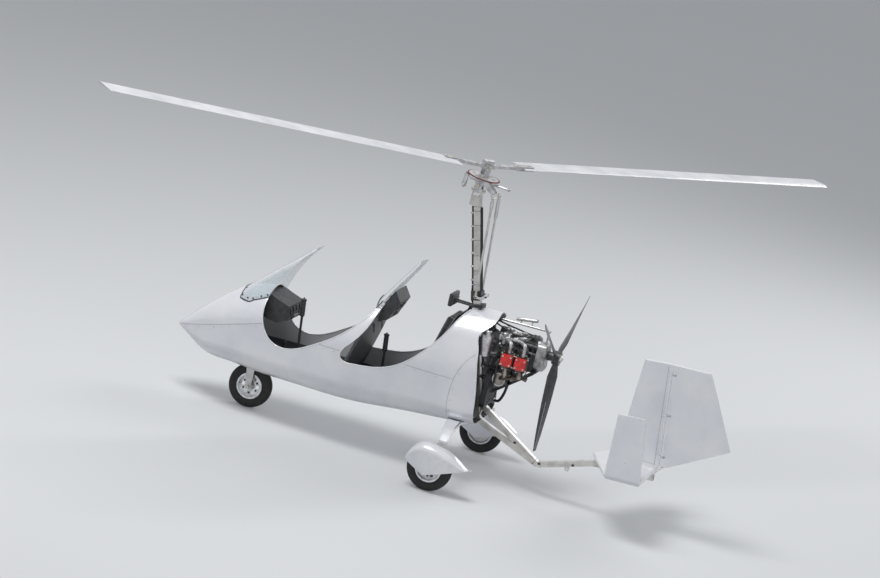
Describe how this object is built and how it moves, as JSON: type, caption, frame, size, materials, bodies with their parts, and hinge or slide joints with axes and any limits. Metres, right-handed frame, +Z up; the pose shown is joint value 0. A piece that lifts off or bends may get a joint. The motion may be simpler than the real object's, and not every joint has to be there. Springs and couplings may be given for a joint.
{
  "type": "gyrocopter",
  "caption": "Open tandem gyrocopter on a tricycle gear: moulded pod, leaning mast with a tilting teetering rotor, pusher engine and propeller, low boom and finned tail.",
  "frame": {"origin": "on the ground, under the middle of the box round the whole machine", "axes": "+X forward along the fuselage, +Y to the left, +Z up"},
  "size_m": [5.104, 7.1206, 3.225],
  "materials": {
    "pearl_white": "gloss",
    "clear_screen": "gloss",
    "black_plastic": "matte",
    "grey_moulding": "satin",
    "seat_fabric": "matte",
    "black_sheet": "satin",
    "stainless": "satin",
    "black_steel": "satin",
    "engine_black": "satin",
    "engine_alloy": "satin",
    "red_cover": "gloss",
    "exhaust_steel": "satin",
    "radiator_black": "matte",
    "black_rubber": "matte",
    "wheel_alloy": "satin",
    "tyre_black": "matte",
    "hub_black": "satin",
    "blade_black": "satin",
    "head_alloy": "satin",
    "ring_steel": "satin",
    "rotor_grey": "satin"
  },
  "bodies": {
    "airframe": {"tub": "pearl_white", "nose_cowl": "pearl_white", "centre_hood": "pearl_white", "rear_fairing": "pearl_white", "side_cowls": "pearl_white", "windscreen_front": "clear_screen", "windscreen_rear": "clear_screen", "instrument_panels": "black_plastic", "seat_pan_front": "grey_moulding", "seat_pan_rear": "grey_moulding", "cushion_front": "seat_fabric", "back_front": "seat_fabric", "cushion_rear": "seat_fabric", "back_rear": "seat_fabric", "headrest": "seat_fabric", "control_sticks": "black_plastic", "firewall": "black_sheet", "keel_frame": "stainless", "mast": "stainless", "mast_head": "stainless", "gear_bow": "pearl_white", "spats": "pearl_white", "main_axles": "stainless", "steering_head": "black_steel", "stabiliser": "pearl_white", "fin": "pearl_white", "side_fins": "pearl_white", "engine_block": "engine_black", "cylinders": "engine_alloy", "valve_covers": "red_cover", "gearbox": "engine_alloy", "intake": "engine_alloy", "exhaust": "exhaust_steel", "radiator": "radiator_black", "engine_mount": "black_steel", "prerotator_drive": "black_rubber", "engine_tray": "black_sheet", "oil_tank": "head_alloy", "pedals": "head_alloy"},
    "nose_fork": {"nose_fork": "stainless"},
    "nose_wheel": {"rim_nose": "wheel_alloy", "tyre_nose": "tyre_black"},
    "main_wheel_left": {"rim_left": "wheel_alloy", "tyre_left": "tyre_black"},
    "main_wheel_right": {"rim_right": "wheel_alloy", "tyre_right": "tyre_black"},
    "rudder": {"rudder": "pearl_white"},
    "propeller": {"propeller_hub": "hub_black", "propeller_blades": "blade_black"},
    "roll_block": {"roll_block": "head_alloy"},
    "pitch_bridge": {"pitch_bridge": "head_alloy"},
    "rotor_shaft": {"ring_gear": "ring_steel", "rotor_tower": "head_alloy"},
    "rotor": {"hub_bar": "hub_black", "rotor_blades": "rotor_grey"},
    "mixer_carriage": {"mixer_carriage": "black_steel"},
    "mixer_bar": {"mixer_bar": "head_alloy"},
    "rod_left": {"rod_left": "stainless"},
    "rod_right": {"rod_right": "stainless"}
  },
  "joints": [
    {"name": "steering", "type": "hinge", "parent": "airframe", "child": "nose_fork", "pos_m": [1.81, 0, 0.5], "axis": [0, 0, 1], "range_deg": [-30, 30]},
    {"name": "nose_wheel_spin", "type": "hinge", "parent": "nose_fork", "child": "nose_wheel", "pos_m": [1.777, 0, 0.2], "axis": [0, 1, 0], "continuous": true},
    {"name": "left_wheel_spin", "type": "hinge", "parent": "airframe", "child": "main_wheel_left", "pos_m": [-0.193, 0.784, 0.2], "axis": [0, 1, 0], "continuous": true},
    {"name": "right_wheel_spin", "type": "hinge", "parent": "airframe", "child": "main_wheel_right", "pos_m": [-0.193, -0.784, 0.2], "axis": [0, 1, 0], "continuous": true},
    {"name": "rudder_turn", "type": "hinge", "parent": "airframe", "child": "rudder", "pos_m": [-2.006, 0, 0.602], "axis": [0.1004, 0, 0.9949], "range_deg": [-27, 27]},
    {"name": "propeller_spin", "type": "hinge", "parent": "airframe", "child": "propeller", "pos_m": [-0.88, 0, 1.25], "axis": [-1, 0, 0], "continuous": true},
    {"name": "head_roll", "type": "hinge", "parent": "airframe", "child": "roll_block", "pos_m": [0.144, 0, 2.488], "axis": [1, 0, 0], "range_deg": [-8, 8]},
    {"name": "head_pitch", "type": "hinge", "parent": "roll_block", "child": "pitch_bridge", "pos_m": [0.144, 0, 2.536], "axis": [0, 1, 0], "range_deg": [-11, 6]},
    {"name": "rotor_spin", "type": "hinge", "parent": "pitch_bridge", "child": "rotor_shaft", "pos_m": [0.115, 0, 2.712], "axis": [-0.108, 0, 0.9942], "continuous": true},
    {"name": "rotor_teeter", "type": "hinge", "parent": "rotor_shaft", "child": "rotor", "pos_m": [0.115, 0, 2.712], "axis": [-0.8252, 0.5577, -0.0896], "range_deg": [-8, 8]},
    {"name": "mixer_slide", "type": "slide", "parent": "airframe", "child": "mixer_carriage", "axis": [0.2288, 0, 0.9735], "range_m": [-0.03, 0.0165]},
    {"name": "mixer_rock", "type": "hinge", "parent": "mixer_carriage", "child": "mixer_bar", "pos_m": [-0.112, 0, 1.588], "axis": [1, 0, 0], "range_deg": [-8, 8]},
    {"name": "rod_left_slide", "type": "slide", "parent": "mixer_carriage", "child": "rod_left", "axis": [0.2288, 0, 0.9735], "range_m": [-0.0142, 0.0142]},
    {"name": "rod_right_slide", "type": "slide", "parent": "mixer_carriage", "child": "rod_right", "axis": [0.2288, 0, 0.9735], "range_m": [-0.0142, 0.0142]}
  ],
  "couplings": [
    {"joint": "rudder_turn", "follows": "steering", "ratio": -0.9},
    {"joint": "mixer_slide", "follows": "head_pitch", "m_per_rad": 0.152},
    {"joint": "mixer_rock", "follows": "head_roll", "ratio": 1},
    {"joint": "rod_left_slide", "follows": "head_roll", "m_per_rad": 0.1},
    {"joint": "rod_right_slide", "follows": "head_roll", "m_per_rad": -0.1}
  ]
}
